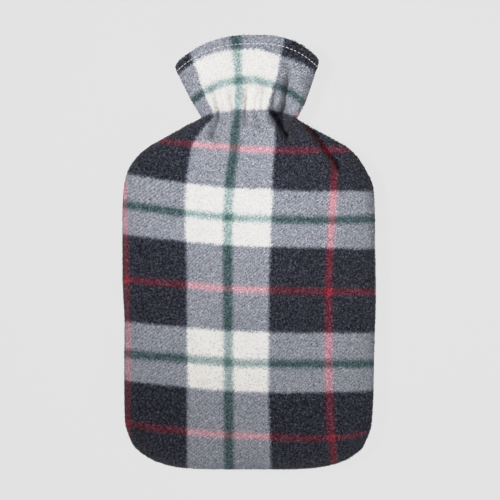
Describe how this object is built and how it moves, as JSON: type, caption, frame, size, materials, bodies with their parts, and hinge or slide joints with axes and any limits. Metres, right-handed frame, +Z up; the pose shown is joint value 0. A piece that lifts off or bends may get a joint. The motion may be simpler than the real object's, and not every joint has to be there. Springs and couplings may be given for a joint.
{
  "type": "hot water bottle cover",
  "caption": "Soft tartan fleece cover for a hot water bottle, lying on its back, with a gathered neck and an open, hemmed collar.",
  "frame": {"origin": "centre of the cover's box on the surface that its back lies on", "axes": "+X across the cover, +Y along its length from the bottom seam to the collar, +Z up through the front panel"},
  "size_m": [0.21, 0.3582, 0.0423],
  "materials": {
    "front_fleece": "brushed fleece in a tartan check of charcoal, grey, white, dark green and red",
    "back_fleece": "the same brushed tartan fleece as the front"
  },
  "bodies": {
    "root": {"front_panel": "front_fleece", "back_panel": "back_fleece"}
  },
  "joints": []
}
